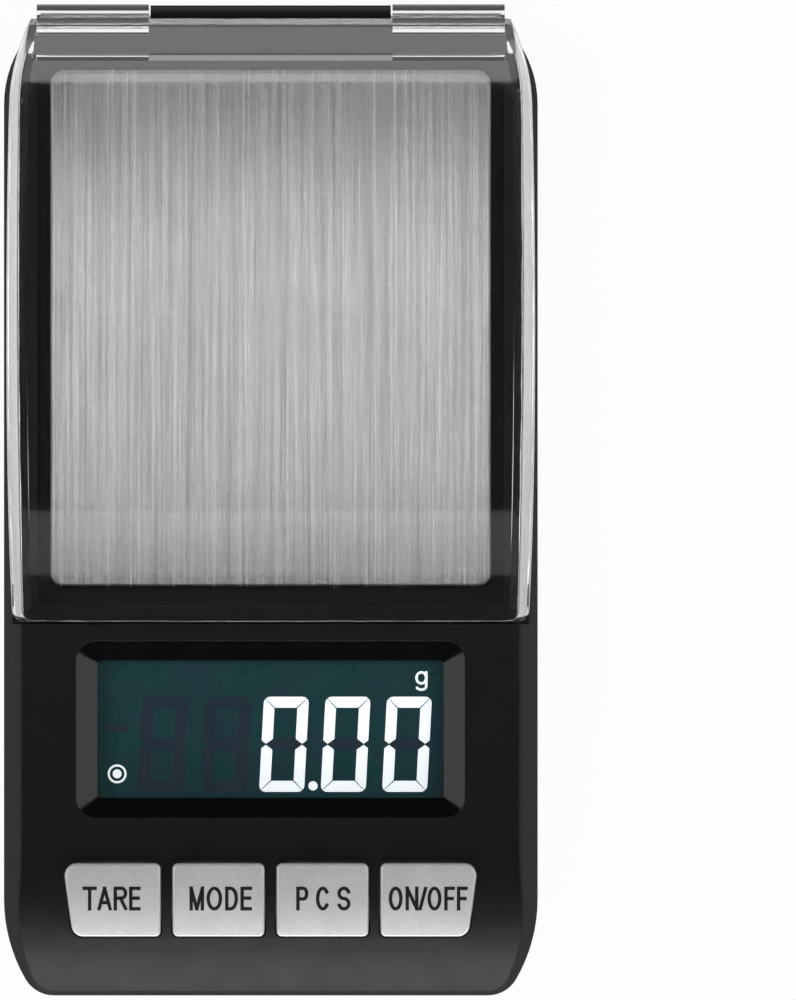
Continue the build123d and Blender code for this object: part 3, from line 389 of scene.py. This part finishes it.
FINISHES = (
    (black_abs(), ("base_shell", "top_shell", "battery_door")),
    # the cover gets painted white highlight streaks on the inner faces of its side walls
    (clear_plastic("clear_cover", (0.955, 0.965, 0.965), 0.0, 0.03, True), ("flip_cover",)),
    (clear_plastic("display_window", (0.93, 0.95, 0.95), 0.0, 0.002), ("display_lens",)),
    (brushed_steel(), ("weighing_pan",)),
    (silver_paint(), ("tare_button", "mode_button", "pcs_button", "power_button")),
    (lcd_glow(), ("lcd_glass",)),
    (circuit_board(), ("main_board",)),
    (chip_mix(), ("board_components",)),
    (cell_sleeve(), ("cell_rear", "cell_front")),
    (striped("elastomer", (0.02, 0.02, 0.02), (0.55, 0.30, 0.28), 0.3, 0.6), ("zebra_strip",)),
    (metal("hinge_steel", (0.50, 0.50, 0.51), (0.68, 0.68, 0.69), 0.25, (0.3, 9, 9)), ("hinge_pin",)),
    (metal("beam_aluminium", (0.62, 0.63, 0.64), (0.80, 0.81, 0.82), 0.38, (0.4, 5, 5)),
     ("load_cell", "load_cell_spacer")),
    (metal("screw_steel", (0.36, 0.36, 0.37), (0.58, 0.58, 0.58), 0.34, (6, 6, 6), 0.01),
     ("housing_screws", "load_cell_carrier_screws", "load_cell_base_screws", "overload_stop_screw",
      "board_screws")),
    (metal("switch_metal", (0.52, 0.52, 0.52), (0.70, 0.70, 0.69), 0.32, (2, 8, 8)), ("tact_switches",)),
    (metal("contact_metal", (0.58, 0.57, 0.54), (0.76, 0.75, 0.72), 0.26, (4, 4, 4)),
     ("contact_springs", "contact_bridge", "contact_positive", "contact_negative")),
    (grained("switch_plunger", (0.012, 0.012, 0.013), (0.03, 0.03, 0.032), 0.4, (4, 4, 4)),
     ("switch_plunger_tare", "switch_plunger_mode", "switch_plunger_pcs", "switch_plunger_power")),
    (grained("rubber_foot", (0.020, 0.020, 0.021), (0.045, 0.045, 0.046), 0.78, (6, 6, 6), 0.1, 0.03),
     ("rubber_feet",)),
    (grained("foam_tape", (0.62, 0.62, 0.58), (0.80, 0.80, 0.77), 0.85, (5, 5, 5), 0.08, 0.05),
     ("pan_tape",)),
    (grained("inner_plastic", (0.018, 0.018, 0.020), (0.034, 0.034, 0.037), 0.5, (5, 5, 5)),
     ("pan_carrier",)),
    (grained("display_frame", (0.012, 0.012, 0.013), (0.022, 0.022, 0.024), 0.5, (5, 5, 5)), ("lcd_frame",)),
    (grained("diffuser", (0.74, 0.78, 0.80), (0.88, 0.90, 0.91), 0.5, (2, 2, 2)), ("backlight",)),
    (grained("gauge_coat", (0.66, 0.66, 0.62), (0.84, 0.84, 0.81), 0.5, (3, 3, 3), 0.1, 0.04),
     ("strain_gauges",)),
    (grained("black_epoxy", (0.006, 0.006, 0.006), (0.014, 0.014, 0.014), 0.2, (1, 1, 1), 0.06, 0.03),
     ("controller_blob",)),
    (wire("red_wire", (0.42, 0.012, 0.010), (0.56, 0.025, 0.02)),
     ("battery_lead_red", "gauge_lead_red")),
    (wire("black_wire", (0.010, 0.010, 0.010), (0.024, 0.024, 0.024)),
     ("battery_lead_black", "gauge_lead_black")),
    (wire("green_wire", (0.012, 0.22, 0.04), (0.03, 0.34, 0.07)), ("gauge_lead_green",)),
    (wire("white_wire", (0.66, 0.66, 0.64), (0.82, 0.82, 0.80)), ("gauge_lead_white",)),
)


def dress_nodes():
    """Every CAD node gets its finish; its mesh stays as it is."""
    for material, names in FINISHES:
        for name in names:
            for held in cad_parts[name].material_slots:
                held.material = material


# ------------------------------------------------------------------ flat marks
def finished(name, shape, material, body):
    """The drawn shape, in mm, as a piece in metres that rides its body."""
    bmesh.ops.recalc_face_normals(shape, faces=shape.faces)
    mesh = bpy.data.meshes.new(name)
    shape.to_mesh(mesh)
    shape.free()
    mesh.transform(((MM, 0, 0, 0), (0, MM, 0, 0), (0, 0, MM, 0), (0, 0, 0, 1)))
    piece = bpy.data.objects.new(name, mesh)
    bpy.context.scene.collection.objects.link(piece)
    mesh.materials.append(material)
    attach(piece, body)
    return piece


def plates(name, outlines, bottom, top, material, body):
    """Thin plates of one height, one for each closed outline."""
    shape = bmesh.new()
    for outline in outlines:
        ring = [shape.verts.new((x, y, bottom)) for x, y in outline]
        face = shape.faces.new(ring)
        raised = bmesh.ops.extrude_face_region(shape, geom=[face])["geom"]
        for item in raised:
            if isinstance(item, bmesh.types.BMVert):
                item.co.z = top
    return finished(name, shape, material, body)


def circle(x, y, radius, steps=32):
    """Points round a circle."""
    turns = [math.tau * i / steps for i in range(steps)]
    return [(x + radius * math.cos(t), y + radius * math.sin(t)) for t in turns]


def ring_piece(name, x, y, outer, inner, material):
    """A flat ring on the display."""
    shape = bmesh.new()
    loops = []
    for radius, z in ((outer, 0.0), (outer, film_height), (inner, film_height), (inner, 0.0)):
        loops.append([shape.verts.new((px, py, lcd_top + z)) for px, py in circle(x, y, radius)])
    for first, second in zip(loops, loops[1:] + loops[:1]):
        for i in range(len(first)):
            j = (i + 1) % len(first)
            shape.faces.new((first[i], first[j], second[j], second[i]))
    return finished(name, shape, material, "housing")


def rounding(height, start, end):
    """Part of a digit's rounded outer corner."""
    turns = [math.radians(start + (end - start) * i / 3) for i in range(4)]
    return [(digit_corner - digit_corner * math.cos(t), height - digit_corner + digit_corner * math.sin(t))
            for t in turns]


def digit_outlines(left, bar=False, sides=True):
    """Segments of one digit: mitred corners, rounded outside, and ends that meet in points halfway up."""
    height = digit_top - digit_bottom
    middle = height / 2
    step = segment_gap * math.sqrt(2)
    corner_side = [(u, v - step / 2) for u, v in rounding(height, 0, 45)]
    corner_top = [(u + step / 2, v) for u, v in rounding(height, 45, 90)]
    side = corner_side + [(segment, height - segment - step), (segment, middle + segment * 0.48),
                          (segment * 0.4, middle + segment_gap), (0, middle + segment * 0.36)]
    top = corner_top + [(digit_width - u, v) for u, v in reversed(corner_top)]
    top += [(digit_width - segment - step, height - segment), (segment + step, height - segment)]
    half = segment / 2
    near, far = segment, digit_width - segment
    middle_bar = [(half, middle), (near, middle + half), (far, middle + half),
                  (digit_width - half, middle), (far, middle - half), (near, middle - half)]
    shapes = []
    if sides:
        for across in (False, True):
            for down in (False, True):
                shapes.append([(digit_width - u if across else u, height - v if down else v)
                               for u, v in side])
        shapes += [top, [(u, height - v) for u, v in top]]
    if bar:
        shapes.append(middle_bar)
    return [[(left + u + v * digit_slant, digit_bottom + v) for u, v in shape] for shape in shapes]


def display_marks():
    """Everything the display shows, as thin films on its glass."""
    lit = lit_mark()
    ghost = grained("unlit_segment", (0.012, 0.028, 0.044), (0.018, 0.027, 0.050), 0.35, (0.3, 0.3, 0.3),
                    0.05, 0.0, Specular_IOR_Level=0.2)

    def film(name, outlines, material):
        plates(name, outlines, lcd_top, lcd_top + film_height, material, "housing")

    for number, left in enumerate(digit_lefts):
        film(f"digit_{number}", digit_outlines(left), lit)
    for number, left in enumerate(ghost_lefts):
        film(f"unlit_digit_{number}", digit_outlines(left, True), ghost)
    bars = [shape for left in digit_lefts for shape in digit_outlines(left, True, False)]
    film("unlit_bars", bars + [minus_bar], ghost)
    film("decimal_point", [circle(*decimal_point)], lit)
    film("stable_dot", [circle(*stable_dot)], lit)
    ring_piece("stable_ring", *stable_dot[:2], *stable_ring, lit)
    left, right, bottom, top = unit_box
    word("unit_g", (("g", left, right),), bottom, top, unit_stroke, lambda y: lcd_top, film_height, lit,
         "housing")


def turn(x, y, across, up, start, end):
    """Part of an oval, from one angle to another."""
    steps = max(2, round(abs(end - start) / oval_step))
    turns = [math.radians(start + (end - start) * i / steps) for i in range(steps + 1)]
    return [(x + across * math.cos(t), y + up * math.sin(t)) for t in turns]


# lines through the middle of each stroke, in a box one wide and one high
STEM = [(0, 0), (0, 1)]
LETTERS = {
    "T": ([(0, 1), (1, 1)], [(0.5, 0), (0.5, 1)]),
    "A": ([(0, 0), (0.5, 1)], [(1, 0), (0.5, 1)], [(0.2, 0.3), (0.8, 0.3)]),
    "R": (STEM, [(0, 1)] + turn(0.6, 0.76, 0.4, 0.24, 90, -90) + [(0, 0.52)], [(0.5, 0.52), (1, 0)]),
    "E": (STEM, [(0, 1), (1, 1)], [(0, 0.52), (0.9, 0.52)], [(0, 0), (1, 0)]),
    "M": (STEM, [(0, 1), (0.5, 0)], [(1, 1), (0.5, 0)], [(1, 0), (1, 1)]),
    "O": (turn(0.5, 0.5, 0.5, 0.5, 0, 360),),
    "D": ([(0, 0), (0, 1)] + turn(0.4, 0.5, 0.6, 0.5, 90, -90) + [(0, 0)],),
    "P": (STEM, [(0, 1)] + turn(0.6, 0.74, 0.4, 0.26, 90, -90) + [(0, 0.48)]),
    "C": (turn(0.5, 0.5, 0.5, 0.5, 40, 320),),
    "S": (turn(0.5, 0.75, 0.5, 0.25, 20, 270) + turn(0.5, 0.25, 0.5, 0.25, 78, -160),),
    "N": (STEM, [(0, 1), (1, 0)], [(1, 0), (1, 1)]),
    "F": (STEM, [(0, 1), (1, 1)], [(0, 0.5), (0.85, 0.5)]),
    "/": ([(0, 0), (1, 1)],),
    "g": (turn(0.5, 0.68, 0.5, 0.32, 0, 360), [(1, 1), (1, 0.2)] + turn(0.5, 0.2, 0.5, 0.2, -12, -150)),
}


def finely(points):
    """The same line with more points on it, so that it can follow a curved surface."""
    fine = [Vector(points[0])]
    for first, second in zip(points, points[1:]):
        first, second = Vector(first), Vector(second)
        steps = max(1, math.ceil((second - first).length / stroke_step))
        fine += [first.lerp(second, (i + 1) / steps) for i in range(steps)]
    return fine


def edges_of(points, width):
    """Both edges of a stroke of even width along a line, with mitred corners and square ends."""
    line = finely(points)
    closed = (line[0] - line[-1]).length < 1e-6
    rows = []
    for i, point in enumerate(line):
        before = point - line[i - 1] if i else (line[-1] - line[-2] if closed else line[1] - point)
        last = i == len(line) - 1
        after = line[i + 1] - point if not last else (line[1] - line[0] if closed else before)
        along = (before.normalized() + after.normalized()).normalized()
        across = Vector((-along.y, along.x)) * (width / 2 / max(0.5, along.dot(before.normalized())))
        if not closed and (i == 0 or last):
            point = point + along * (width / 2 if last else -width / 2)
        rows.append((point + across, point - across))
    return rows, closed


def draw_stroke(shape, points, bottom, top, width, surface, height):
    """One raised stroke of a letter, kept between its foot and its top."""
    rows, closed = edges_of(points, width)
    loops = []
    for first, second in rows:
        corners = []
        for edge, lift in ((first, -ink_sink), (first, height), (second, height), (second, -ink_sink)):
            y = min(max(edge.y, bottom), top)
            corners.append(shape.verts.new((edge.x, y, surface(y) + lift)))
        loops.append(corners)
    for near, far in zip(loops, loops[1:]):
        for i in range(4):
            j = (i + 1) % 4
            shape.faces.new((near[i], near[j], far[j], far[i]))
    if not closed:
        shape.faces.new(loops[0])
        shape.faces.new(loops[-1])


def word(name, letters, bottom, top, width, surface, height, material, body):
    """Drawn letters, each between its own two x values, laid on the surface z(y)."""
    shape = bmesh.new()
    inset = width / 2
    for letter, left, right in letters:
        for stroke in LETTERS[letter]:
            points = [(left + inset + u * (right - left - width), bottom + inset + v * (top - bottom - width))
                      for u, v in stroke]
            draw_stroke(shape, points, bottom, top, width, surface, height)
    bmesh.ops.remove_doubles(shape, verts=shape.verts, dist=1e-5)
    return finished(name, shape, material, body)


def cap_surface(y):
    """Height of the buttons' arched tops."""
    return cap_axis_z + math.sqrt(cap_radius ** 2 - (y - cap_axis_y) ** 2)


# each letter with its left and right edges
KEY_WORDS = (
    ("tare_key", (("T", -23.5, -21.72), ("A", -21.64, -19.84), ("R", -19.62, -17.9), ("E", -17.68, -16.24))),
    ("mode_key", (("M", -10.13, -8.3), ("O", -8.0, -6.04), ("D", -5.68, -4.06), ("E", -3.76, -2.31))),
    ("pcs_key", (("P", 3.22, 4.74), ("C", 5.68, 7.4), ("S", 8.36, 10.0))),
    ("power_key", (("O", 14.78, 16.52), ("N", 16.88, 18.5), ("/", 18.5, 19.6), ("O", 19.62, 21.38),
                   ("F", 21.72, 23.06), ("F", 23.3, 24.66))),
)


def key_words():
    """The lettering printed on the four buttons."""
    ink = grained("black_ink", (0.004, 0.004, 0.005), (0.010, 0.010, 0.012), 0.6, (6, 6, 6), 0.08, 0.004,
                  Specular_IOR_Level=0.15)
    for body, letters in KEY_WORDS:
        word(body + "_word", letters, letter_bottom, letter_top, letter_stroke, cap_surface, ink_height, ink,
             body)


# ------------------------------------------------------------------ studio, m
floor_half = 4.0
floor_below = 0.00005             # the floor lies this far under the feet
floor_white = 0.95                # share of plain white in what the eye sees of the floor
deck_z = 0.0186                   # height of the deck, where the picture is in scale
camera_distance = 4.0             # from the deck
camera_x = 0.01594                # the scale stands left of the middle of the frame
frame_height = 0.125
strip_height = 0.5
# a strip is mirrored in the cover's flat top where its y is this much greater than the mirrored spot's
strip_rise = 1 + strip_height / camera_distance
# name, y of the spot that it is mirrored in, depth of its image and level
STRIPS = (("front_strip", -0.00535, 0.0080, 0.50), ("rear_strip", 0.0554, 0.0068, 2.0))
# height of the sky's levels as a share of the way up, and the levels
SKY_STOPS = ((0.0, 1.0), (0.08, 0.95), (0.3, 0.42), (0.55, 0.11), (0.9, 0.06))


def floor_paint():
    """Pale ground that reads as white, keeps the contact shadow and is clear from below."""
    material, tree = new_material("studio_floor")
    grain = noise(tree, (0.05, 0.05, 0.05), 2.0)
    grey = blend_colour(tree, grain, (0.86, 0.86, 0.86), (0.90, 0.90, 0.90))
    pale = add(tree, "BsdfDiffuse", None, Color=grey)
    white = add(tree, "Emission", None, Color=(1, 1, 1, 1), Strength=1.0)
    path = add(tree, "LightPath")
    seen = math_of(tree, "MAXIMUM", path.outputs["Is Camera Ray"], path.outputs["Is Glossy Ray"])
    seen = math_of(tree, "MAXIMUM", seen, path.outputs["Is Transmission Ray"])
    upper = mix_shaders(tree, math_of(tree, "MULTIPLY", seen, floor_white), pale.outputs[0], white.outputs[0])
    behind = add(tree, "NewGeometry").outputs["Backfacing"]
    clear = add(tree, "BsdfTransparent")
    output(tree, mix_shaders(tree, behind, upper, clear.outputs[0]))
    return material


def floor():
    """One large face under the scale, seen from above only."""
    mesh = bpy.data.meshes.new("floor")
    z = cad_low.z - floor_below
    corners = [(x * floor_half, y * floor_half, z) for x, y in ((-1, -1), (1, -1), (1, 1), (-1, 1))]
    mesh.from_pydata(corners, [], [(0, 1, 2, 3)])
    ground = bpy.data.objects.new("floor", mesh)
    mesh.materials.append(floor_paint())
    bpy.context.scene.collection.objects.link(ground)
    ground.visible_shadow = False


def sky():
    """White at the horizon and dark overhead, so that flat dark surfaces stay dark from above."""
    world = bpy.data.worlds.new("studio")
    bpy.context.scene.world = world
    world.use_nodes = True
    tree = world.node_tree
    tree.nodes.clear()
    direction = add(tree, "TexCoord").outputs["Generated"]
    up = add(tree, "SeparateXYZ", None, Vector=direction).outputs["Z"]
    ramp = add(tree, "ValToRGB", None, Fac=up)
    points = ramp.color_ramp.elements
    while len(points) < len(SKY_STOPS):
        points.new(0.5)
    for point, (where, level) in zip(points, SKY_STOPS):
        point.position = where
        point.color = (level, level, level, 1)
    shade = add(tree, "Background", None, Color=ramp.outputs["Color"], Strength=1.0)
    add(tree, "OutputWorld", None, Surface=shade.outputs[0])


def lamp(name, spot, width, height, level, aim=(0, 0, 0.01)):
    """A soft rectangular lamp at a spot, aimed at a point; level is its own brightness, 1 being white."""
    light = bpy.data.lights.new(name, "AREA")
    light.shape = "RECTANGLE"
    light.size = width
    light.size_y = height
    light.energy = level * math.pi * width * height
    holder = bpy.data.objects.new(name, light)
    holder.location = spot
    holder.rotation_mode = "QUATERNION"
    holder.rotation_quaternion = (Vector(spot) - Vector(aim)).to_track_quat("Z", "Y")
    holder.visible_camera = False
    bpy.context.scene.collection.objects.link(holder)


def lamps():
    """Two at the sides, one low in front, two small ones over the pan, one below, and two mirrored strips."""
    for side in (-1, 1):
        lamp(f"side_{side + 1}", (side * 0.75, 0.02, 0.68), 0.7, 0.6, 3.0)
    lamp("front", (0, -1.0, 0.24), 1.2, 0.46, 7.0)
    for side in (-1, 1):
        lamp(f"pan_{side + 1}", (side * 0.075, 0.02, 0.239), 0.052, 0.06, 3.3, (0, 0.02, 0.014))
    lamp("under", (0, 0, -0.5), 0.6, 0.6, 1.0)
    for name, y, depth, level in STRIPS:
        y, depth = y * strip_rise, depth * strip_rise
        lamp(name, (0, y, strip_height), 0.12, depth, level, (0, y, 0))


def camera():
    """Straight above and far off."""
    lens = bpy.data.cameras.new("camera")
    lens.sensor_width = 36.0
    lens.lens = lens.sensor_width * camera_distance / frame_height
    lens.clip_end = 20.0
    eye = bpy.data.objects.new("camera", lens)
    eye.location = (camera_x, 0.0, deck_z + camera_distance)
    bpy.context.scene.collection.objects.link(eye)
    bpy.context.scene.camera = eye


def main():
    bpy.context.scene.view_settings.view_transform = "Standard"
    camera()
    floor()
    sky()
    lamps()
    dress_nodes()
    display_marks()
    key_words()


main()
